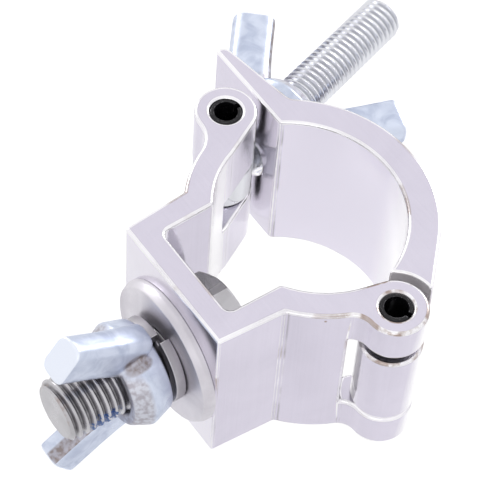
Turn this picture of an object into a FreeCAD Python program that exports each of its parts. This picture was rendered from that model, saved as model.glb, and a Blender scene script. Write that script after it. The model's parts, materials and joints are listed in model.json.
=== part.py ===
import FreeCAD, Part
import math
import os

# Half coupler for a 48 to 51 mm tube, in millimetres.
# The tube runs along Z. X points at the jaw's hinge, and the fixing stud leaves along -Y.
# The origin is the middle of the saddle's tube seat.

Vec = FreeCAD.Vector

# Extrusions
width = 48.0              # length of saddle and jaw along the tube
seat_r = 25.5             # saddle's tube seat
saddle_wall = 7.1         # saddle's curved wall
jaw_slack = 2.4           # the jaw's inner curve is this much larger
jaw_wall = 7.9            # jaw's curved wall
jaw_x = -1.3              # centre of the jaw's curve, closed with no tube
jaw_y = -7.65

# Saddle's foot
foot_depth = 17.5         # outer face of the foot, below the seat
foot_floor = 6.7          # thickness under the bolt's head
foot_half = 19.4          # half of the foot's outer width, at its face
foot_splay = 4.3          # degrees that the outer walls lean out
channel_half = 13.6       # half of the hollow's width, at its floor
channel_splay = 1.0       # degrees that the hollow widens
channel_fillet = 2.0

# Ears and pins
hinge_out = 8.2           # hinge pin's axis beyond the seat
eye_out = 10.3            # eye pin's axis beyond the seat
pin_y = -2.65             # both pins lie at one level
ear_r = 7.8               # round ends of the ears and of the jaw's knuckle
hinge_neck = 9.0          # degrees that the seat ends below the hinge ears
eye_neck = 16.0           # degrees that it ends below the bolt's ears
hinge_blend = 5.0         # hollow blend outside the hinge ears
eye_blend = 8.0           # hollow blend outside the bolt's ears
pin_d = 8.0
pin_wall = 1.0            # rolled sheet of the spring pins
pin_slit = 1.4
hinge_slit_at = 20.0      # degrees from +X
eye_slit_at = 90.0
pin_recess = 0.3          # pin ends below the ear faces
pin_chamfer = 0.4
running_gap = 0.05        # radial, of what turns on a pin or runs on a thread

# Hinge knuckle
hinge_ear = 10.6          # thickness of each hinge ear
knuckle_low_gap = 0.4
knuckle_high_gap = 2.4
knuckle_relief = 2.9      # open gap between knuckle and saddle wall
ear_relief = 1.9          # gap between hinge ears and the jaw's full width

# Jaw's clamping flange
flange_y = 6.3            # inner face
flange_reach = 17.4       # tip beyond the eye pin
flange_tip = 2.9          # thickness at the tip
flange_taper = 9.4        # degrees
tip_outer_r = 2.6
tip_inner_r = 0.8
knee_fillet = 3.0
flange_slot_gap = 1.2     # beside and behind the swing bolt

# Swing bolt
thread_d = 12.0
swing_deg = 106.6         # direction of the bolt from +X
swing_length = 69.3       # from the pin to the bolt's end
eye_r = 7.6
eye_width = 11.0
eye_neck_length = 9.5     # plain neck between the eye's middle and the thread
eye_side_gap = 0.4
eye_slot_depth = 11.7     # floor of the slot, from the pin
end_chamfer = 1.2

# Fixing stud and its washers
stud_d = 16.0
stud_x = 1.2              # the stud's hole lies a little off the middle of the foot
stud_z = -1.6
stud_reach = 33.0         # bolt's end beyond the foot's face
stud_hole_gap = 0.5       # radial
head_flats = 23.0
head_height = 10.0
head_chamfer_deg = 28.0
flat_washer_d = 38.0
flat_washer_t = 3.0
flat_washer_rim = 1.3     # straight part of the punched rim, before it slopes in to the face
flat_washer_slope = 0.8
lock_washer_d = 22.8
lock_washer_t = 2.7
lock_rise = 1.7           # the sprung ring climbs this much from end to end
lock_split = 2.0
lock_split_at = 74.0      # degrees from +X towards +Z, at the low end
washer_hole_gap = 0.5     # radial

# Wing nuts
clamp_hub_r = 9.2         # at the base; the hub widens up to its waist, then closes in
clamp_waist_r = 10.9
clamp_waist_h = 4.5
clamp_top_r = 8.6
clamp_hub_h = 7.6
clamp_wing_h = 22.9       # middle of a wing's flat end, above the nut's base
stud_hub_r = 12.0         # the stud's nut is a size larger
stud_waist_r = 13.7
stud_waist_h = 5.5
stud_top_r = 11.4
stud_hub_h = 10.3
stud_wing_h = 24.6
nut_mouth = 0.8           # chamfer at both ends of the thread
wing_end_r = 24.2         # middle of a wing's flat end, from the nut's axis
wing_lean = 33.5          # degrees from the nut's axis
wing_length = 24.5        # from the section inside the hub to the flat end
wing_width = 11.3
wing_thick = 7.6
wing_corner = 3.0
clamp_nut_seat = 20.6     # from the eye's pin to the nut's base, backed off from the flange
clamp_nut_turn = 4.0      # degrees that the wings are turned out of the bolt's plane of swing
stud_nut_turn = 86.0      # degrees from +X to the wings

half = width / 2
jaw_seat_r = seat_r + jaw_slack
foot_y = -seat_r - foot_depth
hinge_x = seat_r + hinge_out
eye_x = -seat_r - eye_out
flange_tip_x = eye_x - flange_reach
pin_r = pin_d / 2
thread_r = thread_d / 2
stud_r = stud_d / 2
axis_z = Vec(0, 0, 1)
stud_down = Vec(0, -1, 0)
tube = Vec(0, 0, 0)
hinge = Vec(hinge_x, pin_y, 0)
eye = Vec(eye_x, pin_y, 0)
jaw_centre = Vec(jaw_x, jaw_y, 0)
swing = Vec(math.cos(math.radians(swing_deg)), math.sin(math.radians(swing_deg)), 0)
outward = axis_z.cross(swing)


def direction(degrees):
    return Vec(math.cos(math.radians(degrees)), math.sin(math.radians(degrees)), 0)


def bearing(vector):
    return math.degrees(math.atan2(vector.y, vector.x))


def on_stud(y):
    """Point on the stud's axis."""
    return Vec(stud_x, y, stud_z)


def around_stud(degrees):
    return Vec(math.cos(math.radians(degrees)), 0, math.sin(math.radians(degrees)))


def prism(points, low=-half, high=half):
    """Straight prism along Z over a closed polygon."""
    base = [Vec(p.x, p.y, low) for p in points]
    return Part.Face(Part.makePolygon(base + base[:1])).extrude(Vec(0, 0, high - low))


def disc(centre, radius, low=-half, high=half):
    return Part.makeCylinder(radius, high - low, Vec(centre.x, centre.y, low))


def sector(centre, radius, start, end):
    """Part of a disc between two bearings, turning left from start to end."""
    steps = 4
    turns = [start + (end - start) * i / steps for i in range(steps + 1)]
    rim = [centre + direction(turn) * (2 * radius) for turn in turns]
    return disc(centre, radius).common(prism([centre] + rim))


def upright_edges(shape, x, y):
    """Edges along Z that pass through one point of the section."""
    found = []
    for edge in shape.Edges:
        box = edge.BoundBox
        along = box.XLength + box.YLength < 1e-4
        if along and math.hypot(box.XMin - x, box.YMin - y) < 1e-3:
            found.append(edge)
    return found


def save(name, shape):
    shape.removeSplitter().exportStep("parts/" + name + ".step")


os.makedirs("parts", exist_ok=True)

# Saddle: an extrusion with a round seat, a hollow foot and two pairs of ears.
saddle_r = seat_r + saddle_wall
sides = ((hinge, 1, hinge_neck, hinge_blend), (eye, -1, eye_neck, eye_blend))
saddle = sector(tube, saddle_r, bearing(eye) + eye_neck, bearing(hinge) - hinge_neck)
lean = -foot_y * math.tan(math.radians(foot_splay))
saddle = saddle.fuse(prism([Vec(-foot_half, foot_y), Vec(foot_half, foot_y),
                            Vec(foot_half + lean, 0), Vec(-foot_half - lean, 0)]))
for ear, side, neck, blend in sides:
    saddle = saddle.fuse(disc(ear, ear_r))
    # The neck runs from the seat's last point straight onto the round ear.
    last = direction(bearing(ear) - side * neck)
    seat_end = last * seat_r
    gap = ear - seat_end
    spread = math.degrees(math.asin(ear_r / gap.Length))
    run = math.sqrt(gap.Length ** 2 - ear_r ** 2)
    touch = seat_end + direction(bearing(gap) + side * spread) * run
    saddle = saddle.fuse(prism([seat_end, touch, ear, last * saddle_r]))
    # Outside, a hollow blend touches both the seat's wall and the ear.
    a = saddle_r + blend
    b = ear_r + blend
    c = ear.Length
    turn = math.degrees(math.acos((a * a + c * c - b * b) / (2 * a * c)))
    to_blend = direction(bearing(ear) - side * turn)
    web = prism([seat_end, to_blend * seat_r, to_blend * a, ear])
    saddle = saddle.fuse(web.cut(disc(to_blend * a, blend)))
saddle = saddle.removeSplitter()
floor_y = foot_y + foot_floor
lean = -floor_y * math.tan(math.radians(channel_splay))
hollow = prism([Vec(-channel_half, floor_y), Vec(channel_half, floor_y),
                Vec(channel_half + lean, 0), Vec(-channel_half - lean, 0)])
rounded = [edge for x in (-channel_half, channel_half) for edge in upright_edges(hollow, x, floor_y)]
saddle = saddle.cut(hollow.makeFillet(channel_fillet, rounded)).cut(disc(tube, seat_r))
saddle = saddle.cut(disc(hinge, ear_r + knuckle_relief, hinge_ear - half, half - hinge_ear))
slot_half = eye_width / 2 + eye_side_gap
reach = -eye_x
slot = [eye - swing * eye_slot_depth - outward * reach, eye - swing * eye_slot_depth + outward * reach,
        eye + swing * reach + outward * reach, eye + swing * reach - outward * reach]
saddle = saddle.cut(prism(slot, -slot_half, slot_half))
saddle = saddle.cut(disc(hinge, pin_r)).cut(disc(eye, pin_r))
stud_hole = Part.makeCylinder(stud_r + stud_hole_gap, foot_floor, on_stud(floor_y), stud_down)
save("saddle", saddle.cut(stud_hole))

# Jaw: an extrusion that swings on the hinge pin and ends in a slotted flange.
jaw_r = jaw_seat_r + jaw_wall
to_hinge = hinge - jaw_centre
rise = flange_y - jaw_y
inner_x = jaw_x - math.sqrt(jaw_seat_r ** 2 - rise ** 2)
inner_corner = Vec(inner_x, flange_y)
jaw = sector(jaw_centre, jaw_r, bearing(to_hinge), bearing(inner_corner - jaw_centre))
jaw = jaw.fuse(disc(hinge, ear_r))
# A flat outside runs from the curve onto the round knuckle, touching both.
tangent = direction(bearing(to_hinge) + math.degrees(math.acos((jaw_r - ear_r) / to_hinge.Length)))
jaw = jaw.fuse(prism([jaw_centre, hinge, hinge + tangent * ear_r, jaw_centre + tangent * jaw_r]))
# The flange's outer face climbs from the tip to meet the curve at the knee.
tip = Vec(flange_tip_x, flange_y + flange_tip)
climb = direction(flange_taper)
offset = tip - jaw_centre
half_chord = offset.dot(climb)
knee = tip + climb * (-half_chord - math.sqrt(half_chord ** 2 - offset.Length ** 2 + jaw_r ** 2))
jaw = jaw.fuse(prism([inner_corner, knee, tip, Vec(flange_tip_x, flange_y)]))
jaw = jaw.cut(disc(jaw_centre, jaw_seat_r)).removeSplitter()
jaw = jaw.makeFillet(knee_fillet, upright_edges(jaw, knee.x, knee.y))
jaw = jaw.makeFillet(tip_outer_r, upright_edges(jaw, tip.x, tip.y))
jaw = jaw.makeFillet(tip_inner_r, upright_edges(jaw, flange_tip_x, flange_y))
knuckle_low = hinge_ear - half + knuckle_low_gap
knuckle_high = half - hinge_ear - knuckle_high_gap
jaw = jaw.cut(disc(hinge, ear_r + ear_relief, knuckle_high, half))
jaw = jaw.cut(disc(hinge, ear_r + ear_relief, -half, knuckle_low))
jaw = jaw.cut(disc(hinge, pin_r + running_gap))
# The flange's slot is as wide as the bolt and its gaps, with a round end behind the bolt.
slot_r = thread_r + flange_slot_gap
slot_end = eye + swing * ((flange_y - pin_y) / swing.y)
open_x = flange_tip_x - slot_r
slot = prism([Vec(open_x, 0), Vec(slot_end.x, 0), Vec(slot_end.x, jaw_r), Vec(open_x, jaw_r)],
             -slot_r, slot_r)
slot = slot.fuse(Part.makeCylinder(slot_r, jaw_r, Vec(slot_end.x, 0, 0), Vec(0, 1, 0)))
save("jaw", jaw.cut(slot))


def spring_pin(centre, slit_turn):
    """Rolled pin: an open tube with chamfered ends."""
    low = pin_recess - half
    high = half - pin_recess
    pin = disc(centre, pin_r, low, high)
    rims = [edge for edge in pin.Edges if edge.Closed]
    pin = pin.makeChamfer(pin_chamfer, rims).cut(disc(centre, pin_r - pin_wall, low, high))
    side = direction(slit_turn + 90) * (pin_slit / 2)
    far = direction(slit_turn) * pin_d
    return pin.cut(prism([centre - side, centre + far - side, centre + far + side, centre + side]))


# Hinge pin: a slotted spring pin held by the saddle's ears.
save("hinge_pin", spring_pin(hinge, hinge_slit_at))

# Eye pin: the same pin through the swing bolt's ears.
save("eye_pin", spring_pin(eye, eye_slit_at))


def threaded_rod(radius, start, along, length):
    """Plain rod over the thread's crests, with a chamfered far end."""
    shoulder = start + along * (length - end_chamfer)
    rod = Part.makeCylinder(radius, length - end_chamfer, start, along)
    return rod.fuse(Part.makeCone(radius, radius - end_chamfer, end_chamfer, shoulder, along))


# Swing bolt: a threaded rod with a flat-sided eye.
swing_bolt = disc(eye, eye_r, -eye_width / 2, eye_width / 2)
swing_bolt = swing_bolt.fuse(Part.makeCylinder(eye_width / 2, eye_neck_length, eye, swing))
thread_start = eye + swing * eye_neck_length
thread = threaded_rod(thread_r, thread_start, swing, swing_length - eye_neck_length)
swing_bolt = swing_bolt.fuse(thread)
save("swing_bolt", swing_bolt.cut(disc(eye, pin_r + running_gap)))

# Stud bolt: a hex head inside the foot, a corner towards +Z, and a threaded rod through the hole.
head_r = head_flats / 2 / math.cos(math.radians(30))
ring = [on_stud(floor_y) + around_stud(30 + 60 * i) * head_r for i in range(6)]
head = Part.Face(Part.makePolygon(ring + ring[:1])).extrude(stud_down * -head_height)
slope = math.tan(math.radians(head_chamfer_deg))
crown_r = head_flats / 2
crown = Part.makeCone(crown_r + head_height / slope, crown_r, head_height, on_stud(floor_y), -stud_down)
rod = threaded_rod(stud_r, on_stud(floor_y), stud_down, foot_floor + stud_reach)
save("stud_bolt", head.common(crown).fuse(rod))


def place(shape, base, along, ahead):
    """Stand a shape made along +Z on a point, with its axis and its +X in the given directions."""
    turned = shape.copy()
    turned.Placement = FreeCAD.Placement(base, FreeCAD.Rotation(ahead, along.cross(ahead), along, "ZXY"))
    return turned


def revolved(outline):
    """Solid of revolution about Z, from a closed outline of radii and heights."""
    points = [Vec(radius, 0, height) for radius, height in outline]
    return Part.Face(Part.makePolygon(points + points[:1])).revolve(tube, axis_z, 360)


# Flat washer: a wide punched washer against the foot, its rim sloping in to the outer face.
washer_hole_r = stud_r + washer_hole_gap
washer_r = flat_washer_d / 2
flat_washer = revolved([(washer_hole_r, 0), (washer_r, 0), (washer_r, flat_washer_rim),
                        (washer_r - flat_washer_slope, flat_washer_t), (washer_hole_r, flat_washer_t)])
save("flat_washer", place(flat_washer, on_stud(foot_y), stud_down, around_stud(0)))

# Lock washer: a square ring wound as one open left-hand turn, so that its ends stand apart.
lock_y = foot_y - flat_washer_t
lock_r = lock_washer_d / 2
lock_turn = 360 - math.degrees(2 * lock_split / (washer_hole_r + lock_r))
lock_steps = 24
sections = []
for step in range(lock_steps + 1):
    share = step / lock_steps
    radial = direction(-lock_turn * share)
    base = Vec(0, 0, lock_rise * share)
    top = base + Vec(0, 0, lock_washer_t)
    corners = [base + radial * washer_hole_r, base + radial * lock_r,
               top + radial * lock_r, top + radial * washer_hole_r]
    sections.append(Part.makePolygon(corners + corners[:1]))
lock_washer = Part.makeLoft(sections, True, True)
save("lock_washer", place(lock_washer, on_stud(lock_y), stud_down, around_stud(lock_split_at)))


def wing(end_h):
    """Slab with rounded edges that leans out from the nut's axis towards +X and ends in a flat."""
    lean = math.radians(wing_lean)
    along = Vec(math.sin(lean), 0, math.cos(lean))
    root = Vec(wing_end_r, 0, end_h) - along * wing_length
    slab = Part.makeBox(wing_width, wing_thick, wing_length, Vec(-wing_width / 2, -wing_thick / 2, 0))
    rounded = [edge for edge in slab.Edges if edge.BoundBox.ZLength > wing_length / 2]
    return place(slab.makeFillet(wing_corner, rounded), root, along, Vec(along.z, 0, -along.x))


def wing_nut(bore_r, hub_r, waist_r, waist_h, top_r, hub_h, wing_h):
    """Nut along +Z from its base, with wings towards +X and -X."""
    nut = revolved([(0, 0), (hub_r, 0), (waist_r, waist_h), (top_r, hub_h), (0, hub_h)])
    right = wing(wing_h)
    left = right.copy()
    left.rotate(tube, axis_z, 180)
    nut = nut.fuse(right).fuse(left).cut(disc(tube, bore_r, 0, hub_h))
    nut = nut.cut(Part.makeCone(bore_r + nut_mouth, bore_r, nut_mouth))
    return nut.cut(Part.makeCone(bore_r, bore_r + nut_mouth, nut_mouth, Vec(0, 0, hub_h - nut_mouth)))


# Clamp wing nut: runs on the swing bolt and presses on the flange.
clamp_nut = wing_nut(thread_r + running_gap, clamp_hub_r, clamp_waist_r, clamp_waist_h,
                     clamp_top_r, clamp_hub_h, clamp_wing_h)
turn = math.radians(clamp_nut_turn)
wings = outward * math.cos(turn) + axis_z * math.sin(turn)
save("clamp_wing_nut", place(clamp_nut, eye + swing * clamp_nut_seat, swing, wings))

# Stud wing nut: a larger nut of the same form, against the lock washer.
stud_nut = wing_nut(stud_r + running_gap, stud_hub_r, stud_waist_r, stud_waist_h,
                    stud_top_r, stud_hub_h, stud_wing_h)
nut_y = lock_y - lock_washer_t - lock_rise
save("stud_wing_nut", place(stud_nut, on_stud(nut_y), stud_down, around_stud(stud_nut_turn)))
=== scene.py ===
import json
import math
import bmesh
import bpy
import numpy as np
from mathutils import Matrix, Vector


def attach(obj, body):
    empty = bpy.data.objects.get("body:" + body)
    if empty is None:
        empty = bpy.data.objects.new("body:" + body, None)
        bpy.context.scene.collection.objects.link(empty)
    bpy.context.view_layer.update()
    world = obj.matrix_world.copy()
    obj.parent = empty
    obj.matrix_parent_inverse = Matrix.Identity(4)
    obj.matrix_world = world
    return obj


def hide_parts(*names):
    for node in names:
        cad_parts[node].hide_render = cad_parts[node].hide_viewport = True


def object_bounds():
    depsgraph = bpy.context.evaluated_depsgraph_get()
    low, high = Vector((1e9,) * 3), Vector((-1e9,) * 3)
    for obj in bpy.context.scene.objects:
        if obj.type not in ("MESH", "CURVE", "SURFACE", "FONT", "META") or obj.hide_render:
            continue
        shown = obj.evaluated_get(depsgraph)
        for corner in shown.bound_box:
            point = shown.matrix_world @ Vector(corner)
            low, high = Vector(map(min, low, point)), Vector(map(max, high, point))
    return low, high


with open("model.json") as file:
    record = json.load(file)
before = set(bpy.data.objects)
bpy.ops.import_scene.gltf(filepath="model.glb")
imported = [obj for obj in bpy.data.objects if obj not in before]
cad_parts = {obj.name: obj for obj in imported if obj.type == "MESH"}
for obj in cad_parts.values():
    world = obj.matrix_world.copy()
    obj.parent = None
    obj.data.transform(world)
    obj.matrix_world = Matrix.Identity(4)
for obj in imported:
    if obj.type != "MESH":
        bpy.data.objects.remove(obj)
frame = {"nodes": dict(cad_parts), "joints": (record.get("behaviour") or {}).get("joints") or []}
cad_low, cad_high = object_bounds()
nodes = frame["nodes"]
joints = {joint["name"]: joint for joint in frame["joints"]}

# Saddle: the half shell that carries the tube, with a hollow foot and two pairs of ears.
# It is sawn from a drawn aluminium section, cross drilled, and tumbled, which rounds its edges; their shine
# is partly a painted highlight.
mm = 0.001
eye = Vector(joints["swing_bolt_hinge"]["pos_m"])
hinge = Vector(joints["jaw_hinge"]["pos_m"])
tube = Vector()


def fill(tree, inputs, values):
    """Puts a constant or a link into each named or numbered input. An underscore stands for a space."""
    for key, value in values.items():
        socket = inputs[key.replace("_", " ") if isinstance(key, str) else key]
        if isinstance(value, bpy.types.NodeSocket):
            tree.links.new(value, socket)
        else:
            socket.default_value = value


def add(tree, kind, values=None, **options):
    """One shader node, with its options set and its inputs filled."""
    made = tree.nodes.new("ShaderNode" + kind)
    for option, choice in options.items():
        setattr(made, option, choice)
    fill(tree, made.inputs, values or {})
    return made


def ramp(tree, value, low, high, first=0.0, last=1.0):
    """Number that goes from first to last as the value goes from low to high, and stays level outside."""
    return add(tree, "MapRange", {"Value": value, "From Min": low, "From Max": high,
                                  "To Min": first, "To Max": last}).outputs[0]


def reckon(tree, operation, first, second=0.0):
    """One step on two numbers: a sum, a product, a limit or a comparison."""
    return add(tree, "Math", {0: first, 1: second}, operation=operation).outputs[0]


def noise(tree, place, scale, detail=4.0, **more):
    """Cloudy noise between 0 and 1."""
    return add(tree, "TexNoise", {"Vector": place, "Scale": scale, "Detail": detail, **more}).outputs[0]


def blend(tree, amount, first, second):
    """Number that goes from the first to the second with the amount."""
    return add(tree, "Mix", {0: amount, 2: first, 3: second}).outputs[0]


def blend_colours(tree, amount, first, second):
    """Colour that goes from the first to the second with the amount."""
    return add(tree, "Mix", {0: amount, 6: first, 7: second}, data_type="RGBA").outputs[2]


def effect(name, place, numbers, results):
    """Empty node group: a vector input for the place, number inputs and number outputs."""
    tree = bpy.data.node_groups.new(name, "ShaderNodeTree")
    tree.interface.new_socket(place, in_out="INPUT", socket_type="NodeSocketVector")
    for title in numbers:
        tree.interface.new_socket(title, in_out="INPUT", socket_type="NodeSocketFloat")
    for title in results:
        tree.interface.new_socket(title, in_out="OUTPUT", socket_type="NodeSocketFloat")
    return tree, tree.nodes.new("NodeGroupInput").outputs, tree.nodes.new("NodeGroupOutput").inputs


def place_effect(tree, name, **values):
    """One of the shared effects, placed in a material with its own values."""
    made = tree.nodes.new("ShaderNodeGroup")
    made.node_tree = bpy.data.node_groups[name]
    fill(tree, made.inputs, values)
    return made.outputs


def finish_of(name, **constants):
    """Empty material: its node tree, its Principled shader's inputs and its Object coordinates."""
    material = bpy.data.materials.new(name)
    material.use_nodes = True
    tree = material.node_tree
    shader = tree.nodes["Principled BSDF"].inputs
    fill(tree, shader, constants)
    return material, tree, shader, add(tree, "TexCoord").outputs["Object"]


# Edges: how far a rounded normal leaves the true one where the surface stands free, which some finishes take
# as rubbed wear and others as a painted highlight;
# grime that has stayed on such an edge in patches; and a painted shade line, dark, between the edge and the
# face.
tree, given, result = effect("edge_wear_and_painted_light", "Coordinates", ["Radius", "Full Turn"], ["Mask", "Grime", "Line"])
free_reach = 1.6 * mm
rounded_normal = add(tree, "Bevel", {"Radius": given["Radius"]}, samples=6).outputs[0]
true_normal = add(tree, "NewGeometry").outputs["True Normal"]
turn = add(tree, "VectorMath", {0: rounded_normal, 1: true_normal}, operation="DOT_PRODUCT").outputs["Value"]
edge = ramp(tree, turn, 0.998, given["Full Turn"])
free = add(tree, "AmbientOcclusion", {"Distance": free_reach}, samples=12).outputs["AO"]
free = ramp(tree, free, 0.86, 0.97)
edge = reckon(tree, "MULTIPLY", edge, free)
breakup = ramp(tree, noise(tree, given["Coordinates"], 600.0, 3.0), 0.3, 0.55, 0.7, 1.0)
patches = ramp(tree, noise(tree, given["Coordinates"], 62.0), 0.57, 0.64, 0.0, 0.8)
mask = reckon(tree, "MULTIPLY", edge, breakup)
grime = reckon(tree, "MULTIPLY", edge, patches)
# Painted shade: a thin dark line beside each edge, where a rounded edge would mirror something dark.
beside = reckon(tree, "SUBTRACT", edge, 0.3)
beside = reckon(tree, "ABSOLUTE", beside)
beside = ramp(tree, beside, 0.3, 0.1)
drift = ramp(tree, noise(tree, given["Coordinates"], 75.0), 0.42, 0.58, 0.0, 0.85)
line = reckon(tree, "MULTIPLY", beside, drift)
fill(tree, result, {"Mask": mask, "Grime": grime, "Line": line})

# Draw lines: noise stretched along Z on the walls, and along the saw's stroke on the end faces.
# What leans between a wall and an end face is an eased edge.
tree, given, result = effect("draw_lines", "Coordinates", ["Fineness"], ["Lines", "End Face", "Eased Edge"])
drawn_out = (1.0, 1.0, 0.012)
sawn_out = (0.03, 1.0, 1.0)
saw_stroke = (0.0, 0.0, 0.6)
wall_space = add(tree, "Mapping", {"Vector": given["Coordinates"], "Scale": drawn_out}).outputs[0]
saw_space = add(tree, "Mapping", {"Vector": given["Coordinates"], "Rotation": saw_stroke,
                                  "Scale": sawn_out}).outputs[0]
walls = noise(tree, wall_space, given["Fineness"])
saw = noise(tree, saw_space, given["Fineness"])
up = add(tree, "SeparateXYZ", {0: add(tree, "NewGeometry").outputs["True Normal"]}).outputs["Z"]
steep = reckon(tree, "ABSOLUTE", up)
end_face = reckon(tree, "GREATER_THAN", steep, 0.985)
leaning = reckon(tree, "GREATER_THAN", steep, 0.12)
eased = reckon(tree, "SUBTRACT", leaning, end_face)
lines = blend(tree, end_face, walls, saw)
fill(tree, result, {"Lines": lines, "End Face": end_face, "Eased Edge": eased})

# Handling: broad soft smudges, and a few small dark specks where a cell's random value is low.
tree, given, result = effect("handling", "Coordinates", ["Specks"], ["Smudge", "Speck"])
smudge = noise(tree, given["Coordinates"], 55.0, 5.0, Roughness=0.6, Distortion=0.8)
smudge = ramp(tree, smudge, 0.35, 0.7)
cells = add(tree, "TexVoronoi", {"Vector": given["Coordinates"], "Scale": 260.0}).outputs
near = ramp(tree, cells["Distance"], 0.12, 0.05)
pick = add(tree, "SeparateColor", {0: cells["Color"]}).outputs[0]
rare = reckon(tree, "LESS_THAN", pick, given["Specks"])
speck = reckon(tree, "MULTIPLY", near, rare)
fill(tree, result, {"Smudge": smudge, "Speck": speck})


def away_from(tree, coordinates, line):
    """Vector to each point from a line along the tube, square to that line."""
    on_line = (line.x, line.y, 0.0)
    away = add(tree, "VectorMath", {0: coordinates, 1: on_line}, operation="SUBTRACT").outputs[0]
    return add(tree, "VectorMath", {0: away, 1: (1.0, 1.0, 0.0)}, operation="MULTIPLY").outputs[0]


def length_of(tree, vector):
    """Length of a vector."""
    return add(tree, "VectorMath", {0: vector}, operation="LENGTH").outputs["Value"]


def facing(tree, away):
    """How squarely the surface looks back along a vector: 1 straight back, and -1 straight on."""
    back = add(tree, "VectorMath", {0: away, "Scale": -1.0}, operation="SCALE").outputs[0]
    back = add(tree, "VectorMath", {0: back}, operation="NORMALIZE").outputs[0]
    normal = add(tree, "TexCoord").outputs["Normal"]
    return add(tree, "VectorMath", {0: back, 1: normal}, operation="DOT_PRODUCT").outputs["Value"]


tumbled_aluminium, tree, shader, coordinates = finish_of("tumbled_aluminium", Metallic=1.0)
edges = place_effect(tree, "edge_wear_and_painted_light", Coordinates=coordinates, Radius=0.7 * mm, Full_Turn=0.985)
drawn = place_effect(tree, "draw_lines", Coordinates=coordinates, Fineness=2200.0)
touched = place_effect(tree, "handling", Coordinates=coordinates, Specks=0.02)
place = add(tree, "SeparateXYZ", {0: coordinates}).outputs
aluminium = (0.71, 0.675, 0.78, 1.0)
aluminium_shade = (0.66, 0.625, 0.73, 1.0)
tone = ramp(tree, drawn["Lines"], 0.35, 0.7)
tone = blend(tree, 0.7, tone, touched["Smudge"])
colour = blend_colours(tree, tone, aluminium, aluminium_shade)

# Painted reflection: the jaw's bore, above the seat's middle, is painted lighter where it faces the tube's
# axis.
aluminium_bore_reflection = (0.82, 0.785, 0.89, 1.0)
bore_fade = 4.0 * mm
above = ramp(tree, place["Y"], 0.0, bore_fade)
bore_reflection = ramp(tree, facing(tree, away_from(tree, coordinates, tube)), 0.8, 0.95)
bore_reflection = reckon(tree, "MULTIPLY", bore_reflection, above)
colour = blend_colours(tree, bore_reflection, colour, aluminium_bore_reflection)

# Painted highlight: eased edges and walls seen at a glance are painted whitest, apart from the ears round
# the eye pin; on the edges this is partly the shine of tumbling.
aluminium_painted_highlight = (0.99, 0.98, 1.0, 1.0)
painted_shade_grey = (0.33, 0.30, 0.36, 1.0)
glance_off_until = 12.0 * mm
glance_full_from = 16.0 * mm
glance = add(tree, "LayerWeight", {"Blend": 0.5}).outputs["Facing"]
glance = ramp(tree, glance, 0.6, 0.8)
from_eye = length_of(tree, away_from(tree, coordinates, eye))
glance_allowed = ramp(tree, from_eye, glance_off_until, glance_full_from)
glance_allowed = reckon(tree, "MAXIMUM", glance_allowed, above)
glance = reckon(tree, "MULTIPLY", glance, glance_allowed)
highlight_breakup = blend(tree, touched["Smudge"], 1.0, 0.6)
eased = reckon(tree, "MULTIPLY", drawn["Eased Edge"], highlight_breakup)
eased = reckon(tree, "MAXIMUM", eased, edges["Mask"])
painted_highlight = reckon(tree, "MAXIMUM", eased, glance)
colour = blend_colours(tree, painted_highlight, colour, aluminium_painted_highlight)
# Painted shade: the dark line beside each edge.
colour = blend_colours(tree, edges["Line"], colour, painted_shade_grey)

# Round the hinge the edges are rubbed brown in streaks, and the walls that the cutter cleared are matt.
grime_brown = (0.34, 0.24, 0.20, 1.0)
milled_grey = (0.62, 0.59, 0.61, 1.0)
milled_metal = 0.2
rubbed_full = 8.5 * mm
rubbed_end = 10.5 * mm
rubbed_above = -2.0 * mm
cutter_reach = 11.5 * mm
out_of_hinge = away_from(tree, coordinates, hinge)
from_hinge = length_of(tree, out_of_hinge)
streaks = ramp(tree, noise(tree, coordinates, 170.0), 0.46, 0.55, 0.0, 0.9)
rubbed = ramp(tree, from_hinge, rubbed_end, rubbed_full)
rubbed = reckon(tree, "MULTIPLY", rubbed, streaks)
rubbed = reckon(tree, "MULTIPLY", rubbed, eased)
upper = reckon(tree, "GREATER_THAN", place["Z"], rubbed_above)
rubbed = reckon(tree, "MULTIPLY", rubbed, upper)
dirt = reckon(tree, "MAXIMUM", edges["Grime"], touched["Speck"])
dirt = reckon(tree, "MAXIMUM", dirt, rubbed)
colour = blend_colours(tree, dirt, colour, grime_brown)
milled = ramp(tree, facing(tree, out_of_hinge), 0.7, 0.9)
cut_round = reckon(tree, "LESS_THAN", from_hinge, cutter_reach)
milled = reckon(tree, "MULTIPLY", milled, cut_round)
colour = blend_colours(tree, milled, colour, milled_grey)
metal = blend(tree, milled, 1.0, milled_metal)

# Painted reflection: rays other than the camera's see the aluminium near white, so light passes from wall to
# wall almost whole and the gaps and the bore stay light.
aluminium_between = (0.97, 0.96, 0.98, 1.0)
seen = add(tree, "LightPath").outputs["Is Camera Ray"]
colour = blend_colours(tree, seen, aluminium_between, colour)
gloss = blend(tree, touched["Smudge"], 0.13, 0.19)
gloss = blend(tree, drawn["End Face"], gloss, 0.24)
relief = add(tree, "Bump", {"Height": drawn["Lines"], "Strength": 0.03, "Distance": 0.03 * mm}).outputs[0]
fill(tree, shader, {"Base Color": colour, "Metallic": metal, "Roughness": gloss, "Normal": relief})

weld_reach = 0.001 * mm


def dress(node, material):
    """A finish for a piece that keeps its own shape."""
    nodes[node].data.materials.clear()
    nodes[node].data.materials.append(material)


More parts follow.
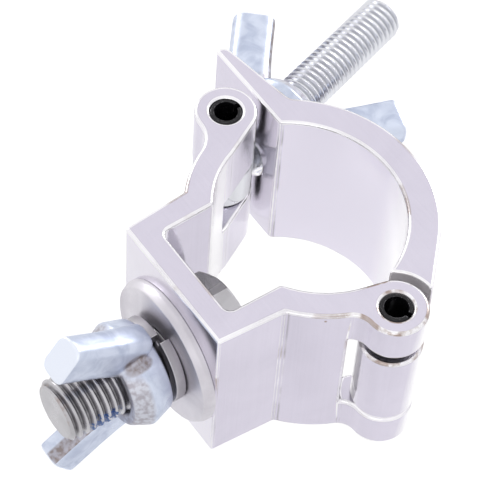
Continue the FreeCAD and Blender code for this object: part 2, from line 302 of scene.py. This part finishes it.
def ease_edges(node, radius):
    """Joins a solid's loose triangles into whole faces and rounds its sharp edges, as tumbling does."""
    weld = nodes[node].modifiers.new("weld", "WELD")
    weld.merge_threshold = weld_reach
    whole = nodes[node].modifiers.new("whole", "DECIMATE")
    whole.decimate_type = "DISSOLVE"
    whole.angle_limit = math.radians(0.2)
    tumble = nodes[node].modifiers.new("tumble", "BEVEL")
    tumble.width = radius
    tumble.segments = 2
    tumble.use_clamp_overlap = False
    tumble.limit_method = "ANGLE"
    tumble.angle_limit = math.radians(30)
    flat = nodes[node].modifiers.new("flat", "WEIGHTED_NORMAL")
    flat.weight = 80


dress("saddle", tumbled_aluminium)
ease_edges("saddle", 0.8 * mm)

# Jaw: the upper half shell, from the same drawn and tumbled aluminium.
# It turns on the hinge pin, and its slotted flange goes round the swing bolt.
dress("jaw", tumbled_aluminium)
ease_edges("jaw", 0.75 * mm)

# Spring pins: two rolled and slit tubes of black spring steel, driven through the ears.
# Their ends lie just below the ear faces, and their bevelled rims are rubbed bright.
black_oxide, tree, shader, coordinates = finish_of("black_oxide", Metallic=0.35)
edges = place_effect(tree, "edge_wear_and_painted_light", Coordinates=coordinates, Radius=0.25 * mm, Full_Turn=0.88)
touched = place_effect(tree, "handling", Coordinates=coordinates, Specks=0.05)
oxide_black = (0.012, 0.011, 0.014, 1.0)
oxide_worn = (0.42, 0.41, 0.44, 1.0)
chips = ramp(tree, noise(tree, coordinates, 1300.0, 3.0), 0.5, 0.62)
chips = reckon(tree, "MULTIPLY", chips, edges["Mask"])
colour = blend_colours(tree, chips, oxide_black, oxide_worn)
gloss = blend(tree, touched["Smudge"], 0.22, 0.38)
fill(tree, shader, {"Base Color": colour, "Roughness": gloss})
dress("hinge_pin", black_oxide)
dress("eye_pin", black_oxide)

# Swing bolt: a forged eye and a plain neck on a rolled M12 thread, bright zinc plated.
# Its eye turns on the eye pin, between the saddle's ears.
swing_r = 6.0 * mm
swing_pitch = 1.75 * mm
swing = Vector(joints["clamp_nut_travel"]["axis"])
along_tube = Vector((0.0, 0.0, 1.0))
end_chamfer = 1.2 * mm


def lay_out(points, origin, ahead, along):
    """Turns local points to the frame: local z goes along an axis, and local x ahead of it."""
    turn = np.array([ahead, along.cross(ahead), along])
    return points @ turn + np.array(origin)


def skin(grid):
    """Points and quads of a grid of rows and columns. Lines that meet are welded later."""
    rows, columns = grid.shape[:2]
    index = np.arange(rows * columns).reshape(rows, columns)
    quads = np.stack([index[:-1, :-1], index[:-1, 1:], index[1:, 1:], index[1:, :-1]], axis=-1)
    return grid.reshape(-1, 3), quads.reshape(-1, 4)


def piece(name, skins, material, **values):
    """One mesh object from several skins: welds their seams and poles, and turns faces outwards."""
    points = np.concatenate([skin_points for skin_points, skin_quads in skins])
    starts = np.cumsum([0] + [len(skin_points) for skin_points, skin_quads in skins[:-1]])
    quads = np.concatenate([skin_quads + start for (skin_points, skin_quads), start in zip(skins, starts)])
    mesh = bpy.data.meshes.new(name)
    mesh.from_pydata(points, [], quads)
    for title, numbers in values.items():
        mesh.attributes.new(title, "FLOAT", "POINT").data.foreach_set("value", numbers.astype(np.float32))
    shell = bmesh.new()
    shell.from_mesh(mesh)
    bmesh.ops.remove_doubles(shell, verts=shell.verts, dist=weld_reach)
    bmesh.ops.recalc_face_normals(shell, faces=shell.faces)
    shell.to_mesh(mesh)
    shell.free()
    mesh.shade_smooth()
    mesh.set_sharp_from_angle(angle=math.radians(35))
    mesh.materials.append(material)
    made = bpy.data.objects.new(name, mesh)
    bpy.context.scene.collection.objects.link(made)
    return made


def fit_in(made, body, node):
    """Lets a piece ride on its body and stand for a CAD node, which it hides."""
    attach(made, body)
    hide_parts(node)


def rounded(corners, radius, steps=5):
    """Closed outline with each corner replaced by an arc,
    as a quadratic curve between its two tangent points."""
    corners = np.array(corners, float)
    radius = np.broadcast_to(radius, len(corners))[:, None]
    before = np.roll(corners, 1, axis=0) - corners
    after = np.roll(corners, -1, axis=0) - corners
    start = corners + before / np.linalg.norm(before, axis=1, keepdims=True) * radius
    end = corners + after / np.linalg.norm(after, axis=1, keepdims=True) * radius
    share = np.linspace(0, 1, steps)[None, :, None]
    arcs = ((1 - share) ** 2 * start[:, None] + 2 * share * (1 - share) * corners[:, None]
            + share ** 2 * end[:, None])
    outline = arcs.reshape(-1, 2)
    return np.vstack([outline, outline[:1]])


def turned(outline, columns=96):
    """Surface of revolution: an outline of radius and height carried round the local z axis."""
    angle = np.linspace(0, 2 * np.pi, columns + 1)
    height = np.repeat(outline[:, 1:], columns + 1, axis=1)
    return np.stack([outline[:, :1] * np.cos(angle), outline[:, :1] * np.sin(angle), height], axis=-1)


def screw(start, length, radius, pitch, columns=96):
    """Right-hand thread round the local z axis, and how near each point is to the crest.
    Rows follow the helix, so a row's place in the pitch gives its radius: crest, flank, root, flank.
    The height is the row plus the helix's climb, and past either end the surface closes to the axis
    without turning back outwards."""
    depth = 0.56 * pitch
    tip_r = 0.3 * mm
    steps = np.array([0.0, 0.09, 0.13, 0.24, 0.34, 0.42, 0.58, 0.66, 0.76, 0.87, 0.91])
    heights = np.array([1.0, 1.0, 0.95, 0.55, 0.16, 0.0, 0.0, 0.16, 0.55, 0.95, 1.0])
    turns = np.arange(math.floor((start - radius) / pitch) - 1, math.ceil((length + radius) / pitch) + 1)
    row = (turns[:, None] + steps).ravel()[:, None] * pitch
    crest = np.tile(heights, len(turns))[:, None]
    angle = np.linspace(0, 2 * np.pi, columns + 1)
    path = row + pitch * angle / (2 * np.pi)
    ends = np.array([start - radius, start, length - end_chamfer, length, length + radius - end_chamfer])
    limit = np.interp(path, ends, np.array([0.0, radius, radius, radius - end_chamfer, 0.0]))
    limit = np.where(limit < tip_r, 0.0, limit)
    height = np.clip(path, start, length)
    thread = radius - depth * (1 - crest)
    crest = np.where(limit < thread, 1.0, crest)
    reach = np.minimum(thread, limit)
    for beyond, order in ((path > length, 1), (path < start, -1)):
        closing = np.minimum.accumulate(np.where(beyond, reach, radius)[::order], axis=0)[::order]
        reach = np.where(beyond, closing, reach)
    return np.stack([reach * np.cos(angle), reach * np.sin(angle), height], axis=-1), crest.ravel()


# Thread dirt and shade: darker towards the thread's roots in uneven patches, partly grease and dust, partly
# painted shade in the roots.
tree, given, result = effect("thread_dirt_and_root_shade", "Coordinates", ["Crest"], ["Dirt And Root Shade"])
patches = ramp(tree, noise(tree, given["Coordinates"], 420.0), 0.3, 0.7, 0.55, 1.0)
depth = ramp(tree, given["Crest"], 0.6, 0.0)
fill(tree, result, {"Dirt And Root Shade": reckon(tree, "MULTIPLY", depth, patches)})

bright_zinc, tree, shader, coordinates = finish_of("bright_zinc", Metallic=1.0)
touched = place_effect(tree, "handling", Coordinates=coordinates, Specks=0.04)
crest = add(tree, "Attribute", attribute_name="crest").outputs["Fac"]
dirt = place_effect(tree, "thread_dirt_and_root_shade", Coordinates=coordinates, Crest=crest)["Dirt And Root Shade"]
zinc = (0.78, 0.79, 0.83, 1.0)
zinc_dull = (0.66, 0.66, 0.70, 1.0)
zinc_root = (0.52, 0.53, 0.57, 1.0)
colour = blend_colours(tree, touched["Smudge"], zinc, zinc_dull)
# Painted shade, with some dirt: the thread's roots are darkened.
colour = blend_colours(tree, dirt, colour, zinc_root)
gloss = blend(tree, touched["Smudge"], 0.18, 0.30)
fill(tree, shader, {"Base Color": colour, "Roughness": gloss})

eye_r = 7.6 * mm
eye_hole_r = 4.05 * mm
eye_half = 5.5 * mm
eye_rounding = 0.6 * mm
neck_r = 5.5 * mm
neck_start = eye_hole_r + 1.0 * mm
neck_end = 9.5 * mm
thread_start = neck_end - 0.4 * mm
swing_reach = 69.3 * mm
eye_outline = [(eye_hole_r, -eye_half), (eye_r, -eye_half), (eye_r, eye_half), (eye_hole_r, eye_half)]
eye_ring = turned(rounded(eye_outline, eye_rounding))
neck = turned(np.array([(0.0, neck_start), (neck_r, neck_start), (neck_r, neck_end), (0.0, neck_end)]))
thread, crest_values = screw(thread_start, swing_reach, swing_r, swing_pitch)
skins = [skin(eye_ring + np.array(eye)), skin(lay_out(neck, eye, along_tube, swing)),
         skin(lay_out(thread, eye, along_tube, swing))]
plain = np.ones(len(skins[0][0]) + len(skins[1][0]))
swing_bolt = piece("swing_bolt_threaded", skins, bright_zinc, crest=np.concatenate([plain, crest_values]))
fit_in(swing_bolt, "swing_bolt", "swing_bolt")

# Clamp wing nut: cast in zinc-plated steel, with two stout wings that lean out from a waisted hub.
# It runs on the swing bolt's thread and presses the jaw's flange down.
wing_end_r = 24.2 * mm
wing_lean = math.radians(33.5)
wing_length = 24.5 * mm
wing_width = 11.3 * mm
wing_thick = 7.6 * mm
wing_rounding = np.array([2.4, 2.6, 3.7, 2.8]) * mm
nut_mouth = 0.8 * mm
hub_rounding = 0.45 * mm
bore_gap = 0.2 * mm
cast_step = 0.3 * mm


def wing(side, end_h):
    """Slab carried along its lean: a rectangle with unlike corners, as the two halves of the mould leave it,
    that swells a little towards the hub and closes at a flat end."""
    along = np.array([math.sin(wing_lean), 0.0, math.cos(wing_lean)])
    across = np.array([math.cos(wing_lean), 0.0, -math.sin(wing_lean)])
    corners = np.array([(-1, -1), (1, -1), (1, 1), (-1, 1)]) * (wing_width / 2, wing_thick / 2)
    outline = rounded(corners, wing_rounding, 7)
    run = np.array([0.0, 0.0, 0.2, 0.4, 0.6, 0.8, 0.98, 1.0, 1.0])
    size = np.array([0.0, 1.12, 1.08, 1.02, 1.0, 1.0, 1.0, 0.95, 0.0])
    middle = np.array([wing_end_r, 0.0, end_h]) - along * wing_length
    grid = (middle + run[:, None, None] * wing_length * along
            + size[:, None, None] * outline[None, :, :1] * across
            + size[:, None, None] * outline[None, :, 1:] * np.array([0.0, 1.0, 0.0]))
    return grid * np.array([side, side, 1.0])


def wing_nut(name, bore, outside, wing_h, base, ahead, along, material):
    """Hub and two wings, joined into one casting by a fine voxel skin and smoothed."""
    top = outside[-1][1]
    inside = [(bore, top - nut_mouth), (bore, nut_mouth), (bore + nut_mouth, 0.0)]
    hub = turned(rounded(outside + [(bore + nut_mouth, top)] + inside, hub_rounding))
    skins = [skin(lay_out(grid, base, ahead, along)) for grid in (hub, wing(1, wing_h), wing(-1, wing_h))]
    nut = piece(name, skins, material)
    cast = nut.modifiers.new("cast", "REMESH")
    cast.mode = "VOXEL"
    cast.voxel_size = cast_step
    cast.use_smooth_shade = True
    soften = nut.modifiers.new("soften", "SMOOTH")
    soften.factor = 0.5
    soften.iterations = 4
    return nut


# Trimmed flat: one half of each wing's inner side, where the casting's flash was sheared off.
# In the nut's own space it lies below the slab's inner face, on the positive side of the mould's joint.
tree, given, result = effect("trimmed_flat", "Nut Space", ["Inner"], ["Mask"])
hub_reach = 9.0 * mm
joint_start = -0.4 * mm
joint_end = 0.1 * mm
local = add(tree, "SeparateXYZ", {0: given["Nut Space"]}).outputs
side = reckon(tree, "SIGN", local["X"])
out = reckon(tree, "ABSOLUTE", local["X"])
across = reckon(tree, "MULTIPLY", out, math.cos(wing_lean))
fall = reckon(tree, "MULTIPLY", local["Z"], math.sin(wing_lean))
inward = reckon(tree, "SUBTRACT", across, fall)
inward = reckon(tree, "LESS_THAN", inward, given["Inner"])
half = reckon(tree, "MULTIPLY", local["Y"], side)
half = ramp(tree, half, joint_start, joint_end)
wide = reckon(tree, "GREATER_THAN", out, hub_reach)
mask = reckon(tree, "MULTIPLY", inward, half)
mask = reckon(tree, "MULTIPLY", mask, wide)
fill(tree, result, {"Mask": mask})


def cast_zinc(name, base, ahead, along, wing_h, cone_h):
    """Bluish zinc plating over a casting: brown and rough where the flash was trimmed and where the metal
    was poured in, sandy on the hub's cone, and white on the wings' ends."""
    material, tree, shader, coordinates = finish_of(name, Metallic=1.0)
    turn = Matrix((ahead, along.cross(ahead), along))
    nut_space = add(tree, "Mapping", {"Vector": coordinates, "Rotation": turn.to_euler(),
                                      "Location": -(turn @ base)}).outputs[0]
    edges = place_effect(tree, "edge_wear_and_painted_light", Coordinates=coordinates, Radius=0.8 * mm, Full_Turn=0.88)
    touched = place_effect(tree, "handling", Coordinates=coordinates, Specks=0.06)
    grain = noise(tree, coordinates, 1500.0)
    torn = noise(tree, coordinates, 700.0, 5.0)

    plating = (0.66, 0.71, 0.84, 1.0)
    plating_dull = (0.49, 0.54, 0.68, 1.0)
    plating_edge_highlight = (0.92, 0.94, 1.0, 1.0)
    cloud = ramp(tree, noise(tree, coordinates, 190.0, 5.0, Distortion=1.0), 0.4, 0.66)
    colour = blend_colours(tree, cloud, plating, plating_dull)
    # Painted highlight, partly rubbed plating: the edges are whitened.
    colour = blend_colours(tree, edges["Mask"], colour, plating_edge_highlight)

    trimmed_grey = (0.44, 0.43, 0.49, 1.0)
    trimmed_brown = (0.28, 0.24, 0.24, 1.0)
    trim_depth = 0.7 * mm
    inner = wing_end_r * math.cos(wing_lean) - wing_h * math.sin(wing_lean) - wing_width / 2 + trim_depth
    trimmed = place_effect(tree, "trimmed_flat", Nut_Space=nut_space, Inner=inner)["Mask"]
    torn_colour = blend_colours(tree, ramp(tree, torn, 0.4, 0.6), trimmed_brown, trimmed_grey)
    colour = blend_colours(tree, trimmed, colour, torn_colour)

    gate_middle = (12.2 * mm, -5.2 * mm, 6.2 * mm)
    gate_size = (2.9 * mm, 2.0 * mm, 3.9 * mm)
    local = add(tree, "SeparateXYZ", {0: nut_space}).outputs
    out = reckon(tree, "ABSOLUTE", local["X"])
    side = reckon(tree, "SIGN", local["X"])
    half = reckon(tree, "MULTIPLY", local["Y"], side)
    folded = add(tree, "CombineXYZ", {0: out, 1: half, 2: local["Z"]}).outputs[0]
    folded = add(tree, "VectorMath", {0: folded, 1: gate_middle}, operation="SUBTRACT").outputs[0]
    folded = add(tree, "VectorMath", {0: folded, 1: gate_size}, operation="DIVIDE").outputs[0]
    gate = ramp(tree, length_of(tree, folded), 1.1, 0.85)
    colour = blend_colours(tree, gate, colour, torn_colour)

    sand_pale = (0.62, 0.63, 0.70, 1.0)
    sand_grey = (0.44, 0.42, 0.47, 1.0)
    cone_fade = 1.0 * mm
    sand_full = 9.5 * mm
    sand_end = 11.5 * mm
    cone = ramp(tree, local["Z"], cone_h, cone_h + cone_fade)
    hub_side = ramp(tree, out, sand_end, sand_full)
    sandy = reckon(tree, "MULTIPLY", cone, hub_side)
    sandy_colour = blend_colours(tree, ramp(tree, torn, 0.42, 0.62), sand_pale, sand_grey)
    colour = blend_colours(tree, sandy, colour, sandy_colour)

    end_white = (0.86, 0.90, 1.0, 1.0)
    end_start = 0.6 * mm
    end_full = 0.3 * mm
    tip = wing_end_r * math.sin(wing_lean) + wing_h * math.cos(wing_lean)
    lean = reckon(tree, "MULTIPLY", out, math.sin(wing_lean))
    rise = reckon(tree, "MULTIPLY", local["Z"], math.cos(wing_lean))
    reach = reckon(tree, "ADD", lean, rise)
    wing_end = ramp(tree, reach, tip - end_start, tip - end_full)
    colour = blend_colours(tree, wing_end, colour, end_white)

    rough = reckon(tree, "MAXIMUM", trimmed, sandy)
    rough = reckon(tree, "MAXIMUM", rough, gate)
    gloss = blend(tree, touched["Smudge"], 0.27, 0.40)
    gloss = blend(tree, rough, gloss, 0.42)
    surface = blend(tree, rough, grain, torn)
    relief = add(tree, "Bump", {"Height": surface, "Strength": 0.14, "Distance": 0.12 * mm}).outputs[0]
    fill(tree, shader, {"Base Color": colour, "Roughness": gloss, "Normal": relief})
    return material


clamp_nut_seat = 20.6 * mm
clamp_nut_turn = math.radians(4.0)
clamp_wing_h = 22.9 * mm
clamp_cone_h = 4.6 * mm
clamp_hub = [(9.2 * mm, 0.0), (10.9 * mm, 4.5 * mm), (8.6 * mm, 7.6 * mm)]
clamp_nut_base = eye + swing * clamp_nut_seat
outward = along_tube.cross(swing)
wings_out = outward * math.cos(clamp_nut_turn) + along_tube * math.sin(clamp_nut_turn)
clamp_zinc = cast_zinc("clamp_nut_zinc", clamp_nut_base, wings_out, swing, clamp_wing_h, clamp_cone_h)
clamp_nut = wing_nut("clamp_wing_nut_cast", swing_r + bore_gap, clamp_hub, clamp_wing_h,
                     clamp_nut_base, wings_out, swing, clamp_zinc)
fit_in(clamp_nut, "clamp_nut", "clamp_wing_nut")

# Stud bolt: a hex bolt with its head in the hollow foot and its thread through the foot's floor.
# It is dull zinc plated, and a patch of blue thread lock has dried on one side of its last turns.
stud_r = 8.0 * mm
stud_pitch = 2.0 * mm
stud_length = 76.0 * mm
stud_down = Vector((0.0, -1.0, 0.0))
stud_nut_base = Vector(joints["stud_nut_turn"]["pos_m"])
stud_axis = Vector((stud_nut_base.x, 0.0, stud_nut_base.z))
head_low = 36.3 * mm
head_height = 10.0 * mm
head_flats = 23.0 * mm
head_slope = math.tan(math.radians(28.0))
stud_start = head_low - 1.0 * mm


def hex_head():
    """Hexagon of revolution: the radius is the smaller of the hexagon's at that angle and the crown cone's
    at that height, and the rows close to the axis at both faces."""
    angle = np.linspace(0, 2 * np.pi, 6 * 24 + 1)
    apothem = head_flats / 2
    hexagon = apothem / np.cos(angle % (np.pi / 3) - np.pi / 6)
    height = np.concatenate([[0.0, 0.0], np.linspace(0.0, 1.0, 48), [1.0]]) * head_height
    limit = apothem + (head_height - height) / head_slope
    limit[0] = 0.0
    limit[-1] = 0.0
    radius = np.minimum(hexagon[None, :], limit[:, None])
    return np.stack([radius * np.cos(angle), radius * np.sin(angle),
                     np.repeat(height[:, None], len(angle), axis=1)], axis=-1)


dull_zinc, tree, shader, coordinates = finish_of("dull_zinc", Metallic=1.0)
touched = place_effect(tree, "handling", Coordinates=coordinates, Specks=0.1)
crest = add(tree, "Attribute", attribute_name="crest").outputs["Fac"]
lock = add(tree, "Attribute", attribute_name="lock").outputs["Fac"]
dirt = place_effect(tree, "thread_dirt_and_root_shade", Coordinates=coordinates, Crest=crest)["Dirt And Root Shade"]
stud_zinc = (0.62, 0.61, 0.64, 1.0)
stud_dull = (0.44, 0.43, 0.45, 1.0)
stud_root = (0.12, 0.115, 0.125, 1.0)
colour = blend_colours(tree, touched["Smudge"], stud_zinc, stud_dull)
# Painted shade, with some dirt: the thread's roots are darkened.
colour = blend_colours(tree, dirt, colour, stud_root)

# The end's chamfer is scuffed brown.
end_brown = (0.40, 0.34, 0.33, 1.0)
scuff_start = 1.4 * mm
scuff_full = 0.9 * mm
rim_start = 1.7 * mm
rim_full = 1.1 * mm
down = add(tree, "SeparateXYZ", {0: coordinates}).outputs["Y"]
near_end = ramp(tree, down, scuff_start - stud_length, scuff_full - stud_length)
across = add(tree, "VectorMath", {0: coordinates, 1: (1.0, 0.0, 1.0)}, operation="MULTIPLY").outputs[0]
across = add(tree, "VectorMath", {0: across, 1: stud_axis}, operation="DISTANCE").outputs["Value"]
rim = ramp(tree, across, stud_r - rim_start, stud_r - rim_full)
scuffs = ramp(tree, noise(tree, coordinates, 330.0), 0.5, 0.6, 0.0, 0.8)
scuffs = reckon(tree, "MULTIPLY", scuffs, near_end)
scuffs = reckon(tree, "MULTIPLY", scuffs, rim)
colour = blend_colours(tree, scuffs, colour, end_brown)

# Thread lock has dried in flakes, which are not metal.
lock_blue = (0.03, 0.16, 0.55, 1.0)
flakes = reckon(tree, "ADD", noise(tree, coordinates, 900.0), lock)
dried = ramp(tree, flakes, 0.98, 1.08)
colour = blend_colours(tree, dried, colour, lock_blue)
metal = blend(tree, dried, 1.0, 0.0)
gloss = blend(tree, touched["Smudge"], 0.22, 0.36)
gloss = blend(tree, dried, gloss, 0.4)
fill(tree, shader, {"Base Color": colour, "Roughness": gloss, "Metallic": metal})

# The patch: a bump over the angle below the axis times a bump over the length, and stronger in the roots.
patch_at = math.radians(-110.0)
patch_spread = 0.62
patch_height = 66.5 * mm
patch_half = 5.2 * mm
patch_strength = 0.66
crest_loss = 0.15
thread, crest_values = screw(stud_start, stud_length, stud_r, stud_pitch)
angle = np.arctan2(thread[..., 1], thread[..., 0]).ravel()
height = thread[..., 2].ravel()
from_patch = np.angle(np.exp(1j * (angle - patch_at)))
patch = np.exp(-(from_patch / patch_spread) ** 4) * np.exp(-((height - patch_height) / patch_half) ** 4)
patch = patch_strength * patch * (1.0 - crest_loss * crest_values)
skins = [skin(lay_out(thread, stud_axis, along_tube, stud_down)),
         skin(lay_out(hex_head(), stud_axis + stud_down * head_low, along_tube, -stud_down))]
head_points = len(skins[1][0])
stud = piece("stud_bolt_threaded", skins, dull_zinc,
             crest=np.concatenate([crest_values, np.ones(head_points)]),
             lock=np.concatenate([patch, np.zeros(head_points)]))
fit_in(stud, "saddle", "stud_bolt")

# Washers: a wide punched washer against the foot, and a sprung split ring under the nut.
# Both are zinc-plated steel, satin on the faces, with edges whitened as a painted highlight that is partly
# rubbed wear. The ring's plating is a darker copy, which paints its shade.
foot_y = -43.0 * mm
washer_hole_r = stud_r + 0.5 * mm
flat_r = 19.0 * mm
flat_t = 3.0 * mm
flat_edge_t = 1.3 * mm
flat_slope = 0.8 * mm
washer_rounding = 0.3 * mm
flat_base = stud_axis + Vector((0.0, foot_y, 0.0))


def satin_zinc(name, satin, satin_dull):
    """Zinc plating over punched steel: dull smudges, edges whitened as a painted highlight that is partly
    rubbed wear, and a fine grain.
    """
    material, tree, shader, coordinates = finish_of(name, Metallic=1.0)
    edges = place_effect(tree, "edge_wear_and_painted_light", Coordinates=coordinates, Radius=0.35 * mm, Full_Turn=0.9)
    touched = place_effect(tree, "handling", Coordinates=coordinates, Specks=0.1)
    satin_edge_highlight = (0.95, 0.94, 0.96, 1.0)
    colour = blend_colours(tree, touched["Smudge"], satin, satin_dull)
    colour = blend_colours(tree, edges["Mask"], colour, satin_edge_highlight)
    gloss = blend(tree, touched["Smudge"], 0.36, 0.46)
    grain = noise(tree, coordinates, 1200.0)
    relief = add(tree, "Bump", {"Height": grain, "Strength": 0.06, "Distance": 0.05 * mm}).outputs[0]
    fill(tree, shader, {"Base Color": colour, "Roughness": gloss, "Normal": relief})
    return material


flat_zinc = satin_zinc("flat_zinc", (0.75, 0.725, 0.775, 1.0), (0.60, 0.575, 0.625, 1.0))
flat_outline = [(washer_hole_r, 0.0), (flat_r, 0.0), (flat_r, flat_edge_t), (flat_r - flat_slope, flat_t),
                (washer_hole_r, flat_t)]
flat_grid = turned(rounded(flat_outline, washer_rounding), 144)
flat_skin = skin(lay_out(flat_grid, flat_base, along_tube, stud_down))
flat_washer = piece("flat_washer_punched", [flat_skin], flat_zinc)
fit_in(flat_washer, "washers", "flat_washer")

lock_r = 11.4 * mm
lock_t = 2.7 * mm
lock_rise = 1.7 * mm
lock_split = 2.0 * mm
lock_split_at = math.radians(74.0)
lock_base = flat_base + stud_down * flat_t
split_out = Vector((math.cos(lock_split_at), 0.0, math.sin(lock_split_at)))


def split_ring(rows=121):
    """Square section with eased corners carried along one open turn, which climbs evenly and turns left.
    Its first and last rows close on the section's middle."""
    corners = [(washer_hole_r, 0.0), (lock_r, 0.0), (lock_r, lock_t), (washer_hole_r, lock_t)]
    outline = rounded(corners, washer_rounding)
    middle = np.array([(washer_hole_r + lock_r) / 2, lock_t / 2])
    share = np.concatenate([[0.0], np.linspace(0.0, 1.0, rows), [1.0]])
    size = np.ones(rows + 2)
    size[[0, -1]] = 0.0
    section = middle + size[:, None, None] * (outline - middle)
    angle = -share[:, None] * (2 * np.pi - 2 * lock_split / (washer_hole_r + lock_r))
    return np.stack([section[..., 0] * np.cos(angle), section[..., 0] * np.sin(angle),
                     section[..., 1] + lock_rise * share[:, None]], axis=-1)


# Painted shade: the ring gets a darker copy of the washer's plating.
sprung_zinc_painted_shade = satin_zinc("sprung_zinc_painted_shade", (0.53, 0.515, 0.545, 1.0), (0.38, 0.365, 0.395, 1.0))
lock_skin = skin(lay_out(split_ring(), lock_base, split_out, stud_down))
lock_washer = piece("lock_washer_sprung", [lock_skin], sprung_zinc_painted_shade)
fit_in(lock_washer, "washers", "lock_washer")

# Stud wing nut: a larger casting of the same kind, run up against the split ring.
# It carries the same bluish zinc, and its wings stand up and down.
stud_nut_turn = math.radians(86.0)
stud_wing_h = 24.6 * mm
stud_cone_h = 5.6 * mm
stud_hub = [(12.0 * mm, 0.0), (13.7 * mm, 5.5 * mm), (11.4 * mm, 10.3 * mm)]
wings_up = Vector((math.cos(stud_nut_turn), 0.0, math.sin(stud_nut_turn)))
stud_nut_zinc = cast_zinc("stud_nut_zinc", stud_nut_base, wings_up, stud_down, stud_wing_h, stud_cone_h)
stud_nut = wing_nut("stud_wing_nut_cast", stud_r + bore_gap, stud_hub, stud_wing_h,
                    stud_nut_base, wings_up, stud_down, stud_nut_zinc)
fit_in(stud_nut, "stud_nut", "stud_wing_nut")

# Studio: a white paper floor under the lowest point, a white surround and soft lamps.
# The floor's own light only shows to the camera and in reflections, so it keeps the shadow.
white = (1.0, 1.0, 1.0, 1.0)
paper_grey = (0.55, 0.55, 0.55, 1.0)
surround_level = 0.35
paper_to_camera = 0.85
paper_mirrored = 0.69
floor_half = 3.0
floor_z = cad_low.z


def seen_ray(tree, camera, mirrored):
    """One level for rays from the camera, one for those that a glossy or a clear surface sends on,
    and 0 for others."""
    path = add(tree, "LightPath").outputs
    sent = reckon(tree, "MAXIMUM", path["Is Glossy Ray"], path["Is Transmission Ray"])
    sent = reckon(tree, "MULTIPLY", sent, mirrored)
    direct = reckon(tree, "MULTIPLY", path["Is Camera Ray"], camera)
    return reckon(tree, "MAXIMUM", sent, direct)


world = bpy.data.worlds.new("surround")
world.use_nodes = True
bpy.context.scene.world = world
tree = world.node_tree
level = reckon(tree, "MAXIMUM", seen_ray(tree, 1.0, 1.0), surround_level)
fill(tree, tree.nodes["Background"].inputs, {"Color": white, "Strength": level})

corners = np.array([(-1, -1), (1, -1), (1, 1), (-1, 1)]) * floor_half
floor_mesh = bpy.data.meshes.new("floor")
floor_mesh.from_pydata(np.hstack([corners, np.full((4, 1), floor_z)]), [], [(0, 1, 2, 3)])
floor = bpy.data.objects.new("floor", floor_mesh)
bpy.context.scene.collection.objects.link(floor)
paper, tree, shader = finish_of("white_paper", Base_Color=paper_grey, Roughness=0.9,
                                Specular_IOR_Level=0.0, Emission_Color=white)[:3]
fill(tree, shader, {"Emission Strength": seen_ray(tree, paper_to_camera, paper_mirrored)})
floor_mesh.materials.append(paper)


def soft_lamp(name, place, size, power):
    """Square area lamp that faces the middle of the object."""
    lamp = bpy.data.lights.new(name, "AREA")
    lamp.size = size
    lamp.energy = power
    made = bpy.data.objects.new(name, lamp)
    made.location = place
    made.rotation_euler = (-Vector(place)).to_track_quat("-Z", "Y").to_euler()
    bpy.context.scene.collection.objects.link(made)


soft_lamp("key", place=(-0.15, 0.9, 0.5), size=0.4, power=3.2)
soft_lamp("side", place=(-0.9, -0.1, 0.4), size=0.4, power=1.4)
soft_lamp("fill", place=(0.6, -0.6, 0.4), size=0.5, power=0.3)

# Camera: the photograph's place and lens, worked out from the object's edges and holes.
# Its three axes are the picture's right, its top and the way back from the object.
camera_place = (0.24789, -0.22062, 0.45998)
camera_right = (0.5716, 0.8193, 0.0456)
camera_up = (-0.6781, 0.4403, 0.5885)
camera_back = (0.4621, -0.3673, 0.8072)
camera_data = bpy.data.cameras.new("photo_camera")
camera_data.lens = 172.165
camera_data.clip_start = 0.01
camera = bpy.data.objects.new("photo_camera", camera_data)
camera.matrix_world = Matrix((camera_right, camera_up, camera_back)).transposed().to_4x4()
camera.location = camera_place
bpy.context.scene.collection.objects.link(camera)
bpy.context.scene.camera = camera
bpy.context.scene.view_settings.view_transform = "Standard"
